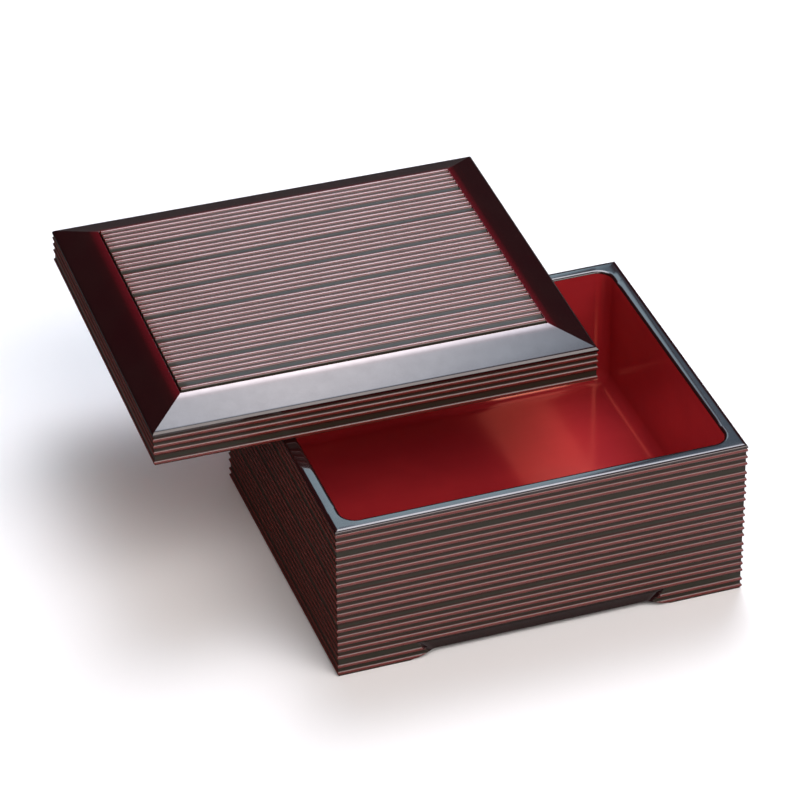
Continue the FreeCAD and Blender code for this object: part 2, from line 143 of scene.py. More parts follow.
class BoxSizes(bpy.types.PropertyGroup):
    """The open box."""

    box_length: length("Length", "Outside, crest to crest", extent("front_board", 0))
    box_width: length("Width", "Outside, crest to crest", extent("left_board", 1))
    box_height: length("Height", "Ground to the crown of the rim", extent("front_board", 2))
    wall: length("Wall", "Board thickness", extent("left_board", 0))
    rim_roll: length("Rim roll", "Drop of the cushioned rim at its edges", 1.0 * MM)
    rim_soft: length("Rim softness", "Width over which the rim rolls down at each edge", 1.7 * MM)
    rim_lip: length("Rim lip", "Plain lip round the top of the outside", 1.4 * MM)
    first_ridge: length("First ridge", "Crown of the rim to the first ridge", 2.6 * MM)
    foot_length: length("Foot length", "Corner to the end of a foot", 31.6 * MM)
    arch_rise: length("Arch rise", "Clear height between the feet", 2.6 * MM)
    arch_run: length("Arch run", "Slanted end of a foot", 8.2 * MM)
    scoop_height: length("Scoop height", "Top of the scooped band", 8.4 * MM)
    scoop_run: length("Scoop run", "Slanted end of the scooped band", 5.7 * MM)
    scoop_depth: length("Scoop depth", "Crest plane to the bottom of the scoop", 2.0 * MM)
    floor_thick: length("Bottom board", "Thickness of the bottom board", extent("bottom_board", 2))
    floor_tongue: length("Tongue", "How far the bottom board enters the walls", 2.0 * MM)
    floor_level: length("Floor level", "Ground to the inside floor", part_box("bottom_board")[1].z)
    corner_radius: length("Corner radius", "Filled upright corners inside", 6.5 * MM)
    cove_radius: length("Cove radius", "Filled edge between floor and walls", 6.0 * MM)


class LidSizes(bpy.types.PropertyGroup):
    """The lid, lying askew on the rim."""

    clearance: length("Clearance", "Between the box and the skirt when closed", 1.0 * MM)
    skirt: length("Skirt", "Thickness of the skirt", 6.2 * MM)
    side: length("Side", "Height of the side, up to the bevel", 16.0 * MM)
    frame_width: length("Frame width", "Outer plane to the frame's inner edge", 16.8 * MM)
    bevel_rise: length("Bevel rise", "Rise of the bevel over the frame", 6.0 * MM)
    edge_chamfer: length("Edge chamfer", "Small chamfer along the bevel's outer edge", 0.9 * MM)
    depth: length("Depth", "Skirt's edge to the ceiling", 11.0 * MM)
    backing: length("Backing board", "Thickness of the backing board",
                    extent("lid_backing_board", 2))
    lip: length("Lip", "Plain lip under the bevel's outer edge", 1.6 * MM)
    first_ridge: length("First ridge", "Bevel's outer edge to the first ridge", 3.7 * MM)
    ridge_pitch: length("Ridge pitch", "Ridge to ridge on the lid's side", 3.15 * MM)
    last_ridge: length("Last ridge", "Lower edge to the lowest ridge", 1.2 * MM)
    panel_gap: length("Panel gap", "Shadow groove between frame and panel", 0.6 * MM)
    panel_rise: length("Panel rise", "Flat of the panel above the frame's inner edge", 0.5 * MM)
    rib_relief: length("Rib relief", "Crest of a rib above the flat", 0.8 * MM)
    rib_width: length("Rib width", "Foot to foot of one rib", 2.5 * MM)
    rib_pitch: length("Rib pitch", "Rib to rib inside a group", 3.37 * MM)
    rib_group_pitch: length("Rib group pitch", "Last rib of a group to the next", 5.1 * MM)
    rib_margin: length("Rib margin", "Panel's edges to the nearest rib", 1.25 * MM)
    turn: angle("Turn", "How far the lid is turned, seen from above", -0.9)


class LacquerColours(bpy.types.PropertyGroup):
    """Colours of the lacquer and of the hidden wood."""

    ground: colour("Ground", "Outside lacquer on the flats", (0.027, 0.024, 0.017))
    crest: colour("Crest", "Red undercoat that shows on the ridges", (0.125, 0.017, 0.013))
    foot: colour("Foot", "Lacquer that has gathered at the ridges' feet", (0.04, 0.006, 0.005))
    smooth: colour("Smooth", "Outside lacquer where it is plain", (0.012, 0.0008, 0.0014))
    glow: colour("Glow", "Red that shows through beside the panel", (0.10, 0.003, 0.006))
    lining: colour("Lining", "Vermilion inside", (0.37, 0.022, 0.027))
    lining_deep: colour("Deep lining", "Vermilion where the coat is thick", (0.30, 0.017, 0.023))
    wood: colour("Wood", "Hidden tongues", (0.55, 0.36, 0.19))


class StageSizes(bpy.types.PropertyGroup):
    """Camera, floor and lights."""

    azimuth: angle("Azimuth", "Camera, clockwise from the front", -18.934)
    elevation: angle("Elevation", "Camera above the horizon", 34.64)
    roll: angle("Roll", "Camera about its own axis", -0.487)
    distance: length("Distance", "Camera to the point it looks at", 1.828)
    aim: FloatVectorProperty(name="Aim", description="Point looked at, from the object's middle",
                             default=(0.005, -0.002, 0.0), unit="LENGTH", size=3, precision=4)
    lens: FloatProperty(name="Lens", description="Focal length on a 36 mm sensor", default=191.27)
    floor_radius: length("Floor radius", "Radius of the round floor", 2.4)
    floor_tone: colour("Floor", "Pale floor", (0.86, 0.86, 0.86))


# ---- outlines and surfaces ----

def crown(offset, width, rise):
    """Height of a circular arc over a chord, at a distance from the chord's middle.

    The radius is (width squared / 4 + rise squared) / (2 rise); outside the chord it is zero.
    """
    radius = (width * width / 4 + rise * rise) / (2 * rise)
    inside = np.abs(offset) < width / 2
    drop = radius - np.sqrt(np.maximum(radius ** 2 - offset ** 2, 0.0))
    return np.where(inside, rise - drop, 0.0)


def steps(start, end, pitch, group_pitch, first_group, group):
    """Places from start towards end in steps of pitch, with a wider step after each group."""
    places = []
    place = start
    left = first_group
    direction = 1 if end > start else -1
    while (end - place) * direction >= 0:
        places.append(place)
        left -= 1
        place += direction * (pitch if left else group_pitch)
        left = left or group
    return np.array(places)


def ridges_at(position, middles, width, relief):
    """Relief at each position of a row of arc-shaped ridges."""
    return crown(position[:, None] - middles[None, :], width, relief).max(axis=1)


def soften(stretches, radius, turn=math.radians(7), run=4 * MM, dense=None):
    """A closed outline with its corners rounded as a coat of lacquer rounds them.

    The stretches, lists of points end to end, are walked at an even step of a quarter radius.
    Each coordinate is then blurred round the loop by a bell curve of that radius, which is a
    product in its Fourier series.  Points are kept so that a span turns by at most `turn` and
    runs at most `run`, or less where dense(points) gives a shorter run.
    Returns the points, the stretch of each one and its signed bend, positive where convex.
    """
    points = np.vstack(stretches)
    part = np.repeat(np.arange(len(stretches)), [len(stretch) for stretch in stretches])
    loop = np.vstack([points, points[:1]])
    walk = np.concatenate([[0.0], np.cumsum(np.linalg.norm(np.diff(loop, axis=0), axis=1))])
    count = int(walk[-1] / (radius / 4))
    even = np.linspace(0.0, walk[-1], count, endpoint=False)
    fine = np.stack([np.interp(even, walk, loop[:, 0]), np.interp(even, walk, loop[:, 1])])
    fine_part = part[np.minimum(np.searchsorted(walk, even, side="right") - 1, len(part) - 1)]
    waves = np.fft.rfftfreq(count, walk[-1] / count) * 2 * math.pi
    fine = np.fft.irfft(np.fft.rfft(fine) * np.exp(-(waves * radius) ** 2 / 2), count).T
    ahead = np.roll(fine, -1, axis=0) - fine
    span = np.linalg.norm(ahead, axis=1)
    heading = np.arctan2(ahead[:, 1], ahead[:, 0])
    turning = (heading - np.roll(heading, 1) + math.pi) % (2 * math.pi) - math.pi
    longest = np.full(count, run) if dense is None else dense(fine, fine_part, run)
    need = np.cumsum(np.abs(turning) / turn + span / longest)
    kept = np.searchsorted(need, np.linspace(0.0, need[-1], int(need[-1]) + 1)[:-1])
    kept = np.unique(np.minimum(kept, count - 1))
    return fine[kept], fine_part[kept], (turning / span)[kept]


def loft(rings):
    """Faces of a solid through a row of closed rings: quads between rings, and two end faces.

    Ring points run anticlockwise seen from the row's far end, looking back along it.
    """
    stations, count = rings.shape[:2]
    here = np.arange(count)
    ahead = np.roll(here, -1)
    row = (np.arange(stations - 1) * count)[:, None]
    quads = np.stack([row + here, row + ahead, row + ahead + count, row + here + count], axis=2)
    ends = [here[::-1].tolist(), (here + (stations - 1) * count).tolist()]
    return quads.reshape(-1, 4), ends


def rings_of(x, y, z):
    """Rings from three coordinates, each of them spread over stations x points."""
    return np.stack(np.broadcast_arrays(x, y, z), axis=2)


def turned(points, radians, offset):
    """Points turned about Z by an angle and then moved."""
    cosine = math.cos(radians)
    sine = math.sin(radians)
    turning = np.array([[cosine, -sine, 0.0], [sine, cosine, 0.0], [0.0, 0.0, 1.0]])
    return points @ turning.T + np.asarray(offset)


def signed_volume(points, quads):
    """Six times the volume that the quads close in, positive when they face outwards."""
    a, b, c, d = (points[quads[:, i]] for i in range(4))
    return np.einsum("ij,ij->", a, np.cross(b, c) + np.cross(c, d))


def solid(node, rings, materials, slots, crest=0.0, bend=0.0, plain=0.0):
    """The lacquered form of a CAD node through rings of points, with a finish for each strip.

    rings: stations x points x 3.  The finish reads three numbers off the surface: crest, how high
    a place is on its ridge; bend, how sharply it turns; plain, one where there are no ridges.
    Each is one number, one for each point of the ring, or one for each station and point.
    The object has smooth faces, and sharp edges where they fold.
    """
    name = node + "_lacquered"
    stations, count = rings.shape[:2]
    quads, ends = loft(rings)
    if signed_volume(rings.reshape(-1, 3) - rings.mean(axis=(0, 1)), quads) <= 0:
        raise RuntimeError(name + " is inside out")
    mesh = bpy.data.meshes.new(name)
    mesh.from_pydata(rings.reshape(-1, 3).tolist(), [], quads.tolist() + ends)
    for material in materials:
        mesh.materials.append(material)
    of_strip = np.broadcast_to(slots, (stations - 1, count)).reshape(-1)
    of_face = np.concatenate([of_strip, [of_strip[0], of_strip[-1]]])
    mesh.polygons.foreach_set("material_index", of_face.astype(np.int32))
    for title, values in (("crest", crest), ("bend", bend), ("plain", plain)):
        layer = mesh.attributes.new(title, "FLOAT", "POINT")
        spread = np.ascontiguousarray(np.broadcast_to(values, (stations, count)), np.float32)
        layer.data.foreach_set("value", spread.reshape(-1))
    mesh.shade_smooth()
    mesh.set_sharp_from_angle(angle=SHARP_FOLD)
    if mesh.validate():
        raise RuntimeError(name + " has a faulty face")
    piece = bpy.data.objects.new(name, mesh)
    bpy.context.scene.collection.objects.link(piece)
    return piece


def hand_over(piece, body, nodes):
    """Fix a piece to its body, in place of its CAD nodes, which are hidden."""
    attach(piece, body)
    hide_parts(*nodes)


def stations_along(half, closer=()):
    """Even stations from -half to half, with closer ones where the shape changes."""
    even = np.linspace(-half, half, EVEN_STATIONS)
    return np.unique(np.concatenate([even, *closer]))


def mitred(x, half, depth):
    """Where a station lies at a depth from the outer plane, when both ends are cut at 45 degrees."""
    return x * (1 - depth / half)


# ---- the box's shapes ----

def wall_relief(heights, box, ridge):
    """Depth of the ribbed outside from the crest plane, at each height."""
    lowest = ridge.width / 2 + ridge.margin
    middles = steps(box.box_height - box.first_ridge, lowest, ridge.pitch, ridge.group_pitch,
                    ridge.top_group, ridge.group)
    depth = ridge.relief - ridges_at(heights, middles, ridge.width, ridge.relief)
    lip_foot = box.box_height - box.rim_lip
    return np.where(heights > lip_foot, 0.0, depth)


def roll(distance, soft):
    """A rounded edge: from nought at the edge to one at `soft` from it, along a quarter circle."""
    reach = np.clip(distance / soft, 0.0, 1.0)
    return np.sqrt(1 - (1 - reach) ** 2)


def rim_height(u, v, box):
    """Height of the rim at distances u and v into the opening from the two nearest inside faces.

    The cushion is flat and rolls down to its outer edges, and to the opening's edge, which is
    round at the corners: both rolls are multiplied.
    """
    radius = box.corner_radius
    outer = box.wall + np.minimum(u, v)
    inner = (np.hypot(np.maximum(radius - u, 0), np.maximum(radius - v, 0)) - radius
             + np.minimum(np.maximum(radius - u, radius - v), 0))
    cushion = roll(outer, box.rim_soft) * roll(inner, box.rim_soft)
    return box.box_height - box.rim_roll * (1 - cushion)


def wall_outline(box, ridge, arched):
    """Outline of a wall board, depth and height: outside, underside, inside with its groove, rim."""
    edge = box.box_height - box.rim_roll
    under = box.floor_level - box.floor_thick
    deep = box.wall - box.floor_tongue
    across = np.linspace(box.wall, 0.0, RIM_POINTS)
    heights = np.linspace(edge, 0.0, WALL_POINTS)
    outside = np.stack([wall_relief(heights, box, ridge), heights], axis=1)
    rim = np.stack([across, rim_height(box.box_width, across - box.wall, box)], axis=1)
    inside = np.array([[box.wall, 0.0], [box.wall, under], [deep, under],
                       [deep, box.floor_level], [box.wall, box.floor_level]])
    underside = np.array([[ridge.relief, 0.0], [box.wall, 0.0]])

    def dense(points, part, run):
        """Closer points on the outside as high as the scoop reaches."""
        near = (part == WALL_OUTSIDE) & (points[:, 1] < box.scoop_height + ridge.relief)
        return np.where(near & arched, SCOOP_RUN, run)

    return soften([outside, underside, inside, rim], ridge.coat, WALL_TURN, dense=dense)


def cut_by_scoop(x, z, box):
    """How deep the scoop cuts at a place on the face, from the crest plane.

    The scoop's edge runs up the slanted foot end and then along its top.  Its section is a
    quarter round: at a distance d inside the edge it is sqrt(depth squared - (depth - d) squared).
    """
    foot = box.box_length / 2 - box.foot_length
    corners = [(foot, 0.0), (foot - box.arch_run, box.arch_rise),
               (foot - box.arch_run - box.scoop_run, box.scoop_height)]
    within = box.scoop_height - z
    for (x0, z0), (x1, z1) in zip(corners, corners[1:]):
        side = math.hypot(x1 - x0, z1 - z0)
        within = np.minimum(within, ((x0 - np.abs(x)) * (z1 - z0) - (z0 - z) * (x0 - x1)) / side)
    reach = np.clip(within, 0.0, box.scoop_depth)
    return np.sqrt(box.scoop_depth ** 2 - (box.scoop_depth - reach) ** 2)


def arch_lift(x, box):
    """Height of the board's lower edge: nought under the feet, a slant, then the low arch."""
    foot = box.box_length / 2 - box.foot_length
    return box.arch_rise * np.clip((foot - np.abs(x)) / box.arch_run, 0.0, 1.0)


def wall_rings(box, ridge, long_side):
    """Rings of one wall board in its own frame, and the numbers its finish needs."""
    outline, part, bend = wall_outline(box, ridge, long_side)
    half = (box.box_length if long_side else box.box_width) / 2
    corner = np.arange(half - box.wall - box.corner_radius, half, CORNER_STEP)
    closer = [corner, -corner]
    if long_side:
        foot = half - box.foot_length
        scoop_end = foot - box.arch_run - box.scoop_run - box.scoop_depth
        ends = np.arange(scoop_end, foot + ridge.width, SCOOP_STEP)
        closer += [ends, -ends]
    along = stations_along(half, closer)[:, None]
    depth = np.broadcast_to(outline[:, 0], (len(along), len(outline))).copy()
    height = np.broadcast_to(outline[:, 1], depth.shape).copy()
    if long_side:
        lift = arch_lift(along, box)
        low = np.minimum(height / box.scoop_height, 1.0)
        height += lift * (1 - low)
        face = np.broadcast_to(part == WALL_OUTSIDE, depth.shape)
        relief = wall_relief(height.reshape(-1), box, ridge).reshape(depth.shape)
        unlifted = wall_relief(outline[:, 1], box, ridge)
        moved = np.where(lift > 0, depth + relief - unlifted, depth)
        cut = cut_by_scoop(along, height, box)
        depth = np.where(face, np.maximum(moved, cut), depth)
        foot_cut = cut_by_scoop(along, lift, box)
        squeezed = foot_cut + depth * (1 - foot_cut / box.wall)
        depth = np.where(part == WALL_UNDERSIDE, np.maximum(squeezed, depth), depth)
        scooped = face & (cut > moved)
    else:
        scooped = np.zeros(depth.shape, bool)
    crest = np.where(part == WALL_OUTSIDE, np.clip(1 - depth / ridge.relief, 0.0, 1.0), 0.0)
    lip = height > box.box_height - box.rim_lip
    crest = np.where(lip | scooped, 0.0, crest)
    bend = np.where(scooped, 0.0, np.broadcast_to(bend, depth.shape))
    x = mitred(along, half, depth)
    rim = rim_height(half - box.wall - np.abs(x), depth - box.wall, box)
    height = np.where(part == WALL_RIM, rim, height)
    return rings_of(x, depth, height), part, crest, bend, lip | scooped


def board_rings(span_x, span_y, low, high, coat):
    """Rings of a flat board: its two broad faces are barely uneven, by a sum of slow waves.

    The dip is SAG times the product of two half waves, times one plus two slow waves, and so it
    fades to nothing at the edges.  The second half wave is a thousandth wider than the board.
    """
    across = np.linspace(-span_y / 2, span_y / 2, 120)
    under = np.stack([across, np.full_like(across, low)], axis=1)
    over = np.stack([across[::-1], np.full_like(across, high)], axis=1)
    outline, part, bend = soften([under, over], coat, run=3 * MM)
    along = np.linspace(-span_x / 2, span_x / 2, 61)[:, None]
    y = outline[None, :, 0]
    fade = np.cos(math.pi * along / span_x) * np.cos(math.pi * y / (span_y * 1.001))
    waves = np.sin(along * 71 + y * 43 + 1) + np.sin(along * 47 - y * 83)
    dip = SAG * fade * (1 + waves / 2)
    inward = np.where(part == BOARD_OVER, -1.0, 1.0) * dip
    return rings_of(along, y, outline[None, :, 1] + inward), part, bend


def cove_rings(along, across, corner, cove):
    """Rings of a cove between floor and wall, from the middle of one corner to the next.

    A station is a place on the wall and the way inwards from it: straight in along the wall, and
    towards the corner's centre on the rounded corners.  The section is a quarter circle: at an
    angle a it is cove (1 - cos a) in and cove (1 - sin a) up, closed by two legs behind it.
    """
    eighth = np.linspace(0.0, math.pi / 4, 19)
    end = np.full_like(eighth, along / 2 - corner)
    straight = np.linspace(-along / 2 + corner, along / 2 - corner, 15)[1:-1]
    way = np.concatenate([-eighth[::-1], np.zeros_like(straight), eighth])
    centre = np.concatenate([-end, straight, end])
    sweep = np.linspace(math.pi / 2, 0.0, 25)
    curve = np.broadcast_to(cove * (1 - np.cos(sweep)), (len(way), len(sweep)))
    up = np.concatenate([cove * (1 - np.sin(sweep)), [cove, 0.0]])
    behind = np.minimum(corner - corner / np.cos(way), -FEATHER)
    into = np.column_stack([curve, behind, behind])
    reach = corner - into
    x = centre[:, None] + reach * np.sin(way)[:, None]
    y = corner - across / 2 - reach * np.cos(way)[:, None]
    return rings_of(x, y, up[None, :])


def corner_rings(box):
    """Rings of the upright filling of an inside corner at the origin, and which strips are rim.

    The plan is a quarter circle and two legs.  It runs up to the rim's edge and there shrinks
    towards the corner, at the height of the rim's cushion.
    """
    radius = box.corner_radius
    sweep = np.linspace(0.0, math.pi / 2, 37)
    leg = np.linspace(1.0, 0.0, 10)[1:]
    x = radius * np.concatenate([1 - np.sin(sweep), 0 * leg, leg[::-1][1:]])
    y = radius * np.concatenate([1 - np.cos(sweep), leg, 0 * leg[1:]])
    upright = np.linspace(box.floor_level + box.cove_radius, box.box_height - box.rim_roll, 6)
    shrink = 1 - np.cos(np.linspace(0.0, math.pi / 2, 26)[1:-1])
    scale = np.concatenate([np.ones_like(upright), 1 - shrink])[:, None]
    over = rim_height(x * scale, y * scale, box)
    heights = np.where(scale < 1, over, np.concatenate([upright, shrink])[:, None])
    rings = rings_of(x * scale, y * scale, heights)
    return rings, np.arange(1, len(rings))[:, None] >= len(upright)


# ---- the lid's shapes ----

def rail_outline(lid, ridge):
    """Outline of a rail of the lid: edge, skirt's inside, frame's underside and end, bevel, side."""
    middles = np.concatenate([
        [lid.last_ridge],
        steps(lid.side - lid.first_ridge, lid.last_ridge + ridge.group_pitch, lid.ridge_pitch,
              lid.ridge_pitch, ONE_GROUP, ONE_GROUP)])
    lip_foot = lid.side - lid.lip
    heights = np.linspace(lip_foot, 0.0, RAIL_POINTS)
    depth = ridge.relief - ridges_at(heights, middles, ridge.width, ridge.relief)
    seat = lid.depth + lid.backing
    above = lid.edge_chamfer * CHAMFER_UP
    below = lid.edge_chamfer - above
    side = np.concatenate([[[0.0, lid.side - below], [0.0, lip_foot]],
                           np.stack([depth, heights], axis=1)])
    edge = np.array([[ridge.relief, 0.0], [lid.skirt, 0.0]])
    skirt = np.array([[lid.skirt, 0.0], [lid.skirt, seat]])
    under = np.array([[lid.skirt, seat], [lid.frame_width, seat]])
    top = np.array([[lid.frame_width, seat], [lid.frame_width, lid.side + lid.bevel_rise],
                    [lid.edge_chamfer, lid.side + above]])
    return soften([side, edge, skirt, under, top], ridge.coat)


def panel_outline(lid, ridge, width):
    """Outline of the ribbed panel across its width: underside, then the top with its ribs."""
    thick = lid.side + lid.bevel_rise + lid.panel_rise - lid.depth - lid.backing
    last = width - lid.rib_margin
    places = steps(lid.rib_margin, last - lid.rib_width, lid.rib_pitch, lid.rib_group_pitch,
                   ridge.group, ridge.group)
    middles = width / 2 - np.concatenate([places, [last]])
    across = np.linspace(width / 2, -width / 2, PANEL_POINTS)
    ribs = ridges_at(across, middles, lid.rib_width, lid.rib_relief)
    top = np.stack([across, thick + ribs], axis=1)
    under = np.array([[-width / 2, 0.0], [width / 2, 0.0]])
    outline, part, bend = soften([under, top], ridge.coat)
    crest = np.clip((outline[:, 1] - thick) / lid.rib_relief, 0.0, 1.0)
    return outline, part, bend, crest


def eased_ends(outline, half, ease):
    """Rings along a bar whose ends are rounded over by a quarter circle of radius `ease`.

    Towards the end the ring shrinks along its own normals by ease (1 - cos a) while the station
    moves out by ease sin a.
    """
    ahead = np.roll(outline, -1, axis=0) - np.roll(outline, 1, axis=0)
    ahead /= np.linalg.norm(ahead, axis=1)[:, None]
    inward = np.stack([-ahead[:, 1], ahead[:, 0]], axis=1)
    sweep = np.linspace(0.0, math.pi / 2, 5)
    flat = np.linspace(-half + ease, half - ease, 41)[1:-1]
    end = half - ease * (1 - np.sin(sweep))
    x = np.concatenate([-end[::-1], flat, end])
    narrowing = ease * (1 - np.cos(sweep))
    shrink = np.concatenate([narrowing[::-1], 0 * flat, narrowing])
    shape = outline[None] + inward[None] * shrink[:, None, None]
    return rings_of(x[:, None], shape[..., 0], shape[..., 1]), shrink > 0


def lid_place(lid, box):
    """Plan size of the lid, and where the middle of its lower edge lies in the frame."""
    grow = 2 * (lid.clearance + lid.skirt)
    rails = [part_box("lid_" + side + "_rail") for side in ("front", "right", "back", "left")]
    low = np.min([list(corner[0]) for corner in rails], axis=0)
    high = np.max([list(corner[1]) for corner in rails], axis=0)
    middle = (low + high) / 2
    return box.box_length + grow, box.box_width + grow, (middle[0], middle[1], low[2])


# ---- finishes ----

class Wire:
    """A number in a material's node tree that takes part in Python sums."""

    def __init__(self, finish, socket):
        self.finish = finish
        self.socket = socket

    def maths(self, operation, *values):
        """A Math node on the given values."""
        inputs = dict(enumerate(values))
        return self.finish.node("ShaderNodeMath", {"operation": operation}, inputs)

    def __add__(self, other):
        return self.maths("ADD", self, other)

    def __sub__(self, other):
        return self.maths("SUBTRACT", self, other)

    def __mul__(self, other):
        return self.maths("MULTIPLY", self, other)

    def __rsub__(self, other):
        return self.maths("SUBTRACT", other, self)

    __radd__ = __add__
    __rmul__ = __mul__

    def between(self, low, high):
        """Nought below low, one above high and a smooth rise from one to the other."""
        return self.finish.node("ShaderNodeMapRange", {"interpolation_type": "SMOOTHSTEP"},
                                {"Value": self, "From Min": low, "From Max": high})


class Finish:
    """A material, or the world, under construction."""

    def __init__(self, owner):
        self.owner = owner
        owner.use_nodes = True
        self.tree = owner.node_tree
        self.tree.nodes.clear()

    def node(self, kind, settings=None, inputs=None, output=0):
        """A node of a type, its settings made first, then the values or links of its sockets."""
        made = self.tree.nodes.new(kind)
        for name, value in (settings or {}).items():
            setattr(made, name, value)
        for name, value in (inputs or {}).items():
            if isinstance(value, Wire):
                self.tree.links.new(value.socket, made.inputs[name])
            else:
                made.inputs[name].default_value = value
        return Wire(self, made.outputs[output]) if len(made.outputs) else None

    def place(self, scale=(1.0, 1.0, 1.0)):
        """Object coordinates, stretched by a scale along each axis."""
        where = self.node("ShaderNodeTexCoord", output="Object")
        return self.node("ShaderNodeMapping", None, {"Vector": where, "Scale": scale})

    def grain(self, size, detail=2.0, scale=(1.0, 1.0, 1.0)):
        """Noise between nought and one, with features of about a given size."""
        return self.node("ShaderNodeTexNoise", None,
                         {"Vector": self.place(scale), "Scale": 1 / size, "Detail": detail})

    def attribute(self, name):
        """A number that the mesh carries."""
        return self.node("ShaderNodeAttribute", {"attribute_name": name}, output="Fac")

    def blend(self, factor, first, second):
        """One colour going over into another: the Mix node's sockets 6, 7 and 2 carry colours."""
        settings = {"data_type": "RGBA", "blend_type": "MIX"}
        first = first if isinstance(first, Wire) else (*first, 1.0)
        second = second if isinstance(second, Wire) else (*second, 1.0)
        return self.node("ShaderNodeMix", settings, {0: factor, 6: first, 7: second}, output=2)

    def skin(self, height, strength=1.0):
        """The way a surface faces when it is raised by a height in metres."""
        return self.node("ShaderNodeBump", None,
                         {"Strength": strength, "Distance": 1.0, "Height": height})

    def close(self, inputs):
        """Join the inputs to the surface and give the material back."""
        surface = self.node("ShaderNodeBsdfPrincipled", None, inputs)
        self.node("ShaderNodeOutputMaterial", None, {"Surface": surface})
        return self.owner


def new_finish(name):
    """An empty material, ready for its nodes."""
    return Finish(bpy.data.materials.new(name))


def outside_lacquer(colours):
    """Near-black lacquer: olive on the flats, maroon where plain, and rubbed red along each crest.

    Bends are in radians a metre: a crest's edge is rubbed through from 1600 upwards, and lacquer
    gathers in hollows from 300 upwards.
    """
    finish = new_finish("black_lacquer")
    crest = finish.attribute("crest")
    bend = finish.attribute("bend")
    plain = finish.attribute("plain")
    rubbed = finish.grain(2.5 * MM, 3.0, (0.15, 0.15, 1.0))
    cloud = finish.grain(24 * MM, 2.0)
    ridge = crest.between(0.2, 0.72) * (0.7 + rubbed * 0.55)
    edge = bend.between(1600.0, 7000.0) * (0.15 + rubbed * 0.35)
    gathered = (0 - bend).between(300.0, 2500.0)
    ground = finish.blend(plain * (0.85 + cloud * 0.15), colours.ground, colours.smooth)
    ground = finish.blend(gathered * 0.8, ground, colours.foot)
    red = finish.node("ShaderNodeClamp", None, {"Value": ridge * (1 - plain) + edge})
    tone = finish.blend(red, ground, colours.crest)
    tone = finish.blend(crest * plain, tone, colours.glow)
    smudge = finish.grain(5 * MM, 4.0)
    orange_peel = finish.grain(1.1 * MM, 1.0)
    waviness = finish.grain(16 * MM, 1.0)
    skin = finish.skin(orange_peel * (1.1 * MICRON) + waviness * (30 * MICRON))
    return finish.close({
        "Base Color": tone,
        "Roughness": 0.24 + rubbed * 0.12 - plain * 0.14,
        "Specular IOR Level": 0.1,
        "Coat Weight": (0.1 + plain * 0.52 + ridge * 0.7) * (0.85 + smudge * 0.25),
        "Coat Roughness": 0.045,
        "Coat IOR": 1.7,
        "Normal": skin,
    })


def inside_lacquer(colours):
    """Vermilion lacquer with a deep gloss, faintly clouded by the brush."""
    finish = new_finish("vermilion_lacquer")
    cloud = finish.grain(35 * MM, 3.0)
    brushed = finish.grain(2.2 * MM, 2.0, (0.15, 1.0, 1.0))
    tone = finish.blend(cloud.between(0.3, 0.7) * 0.7 + brushed * 0.3, colours.lining,
                        colours.lining_deep)
    waviness = finish.grain(22 * MM, 1.0)
    skin = finish.skin(waviness * (50 * MICRON) + brushed * (1.5 * MICRON))
    return finish.close({
        "Base Color": tone,
        "Roughness": 0.1 + brushed * 0.08,
        "IOR": 1.95,
        "Specular Tint": (1.0, 0.3, 0.16, 1.0),
        "Coat Weight": 0.2 + cloud * 0.1,
        "Coat Roughness": 0.05,
        "Coat IOR": 1.5,
        "Normal": skin,
    })


def bare_wood(colours):
    """Pale straight-grained wood of the hidden tongues, the grain running up."""
    finish = new_finish("hidden_wood")
    grain = finish.grain(1.2 * MM, 4.0, (1.0, 1.0, 0.06))
    pores = finish.grain(0.35 * MM, 2.0, (1.0, 1.0, 0.04))
    dark = tuple(part * 0.55 for part in colours.wood)
    tone = finish.blend(grain.between(0.35, 0.7), colours.wood, dark)
    skin = finish.skin(pores * (80 * MICRON), 0.6)
    return finish.close({"Base Color": tone, "Roughness": 0.62 + pores * 0.2, "Normal": skin})


# ---- the pieces ----

# Each side: its name, its turn from the front, and whether it is one of the two long ones.
SIDES = (("front", 0.0, True), ("right", math.pi / 2, False),
         ("back", math.pi, True), ("left", 1.5 * math.pi, False))


def lacquers():
    """The outside's and the inside's lacquer, once their operator has made them."""
    return bpy.data.materials["black_lacquer"], bpy.data.materials["vermilion_lacquer"]


def outward(facing, distance_x, distance_y):
    """The middle of a side: straight out from the middle, along the side's own way out."""
    return (math.sin(facing) * distance_x, -math.cos(facing) * distance_y, 0.0)


class LUNCHBOX_OT_finishes(bpy.types.Operator):
    """Make the lacquers and the bare wood, and give the wood to the CAD keys that stay"""

    bl_idname = "lunchbox.finishes"
    bl_label = "Finishes"

    def execute(self, context):
        colours = context.scene.lunch_colours
        outside_lacquer(colours)
        inside_lacquer(colours)
        wood = bare_wood(colours)
        for name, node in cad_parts.items():
            if "_key_" in name:
                node.data.materials.clear()
                node.data.materials.append(wood)
        return {"FINISHED"}


class LUNCHBOX_OT_walls(bpy.types.Operator):
    """Build the four ribbed wall boards with their cushioned rim, feet and scoops"""

    bl_idname = "lunchbox.walls"
    bl_label = "Wall boards"

    def execute(self, context):
        box = context.scene.lunch_box
        ridge = context.scene.lunch_ridges
        for side, facing, is_long in SIDES:
            rings, part, crest, bend, plain = wall_rings(box, ridge, is_long)
            where = outward(facing, box.box_length / 2, box.box_width / 2)
            node = side + "_board"
            piece = solid(node, turned(rings, facing, where), lacquers(), part == WALL_INSIDE,
                          crest, bend, plain)
            hand_over(piece, "box", [node])
        return {"FINISHED"}


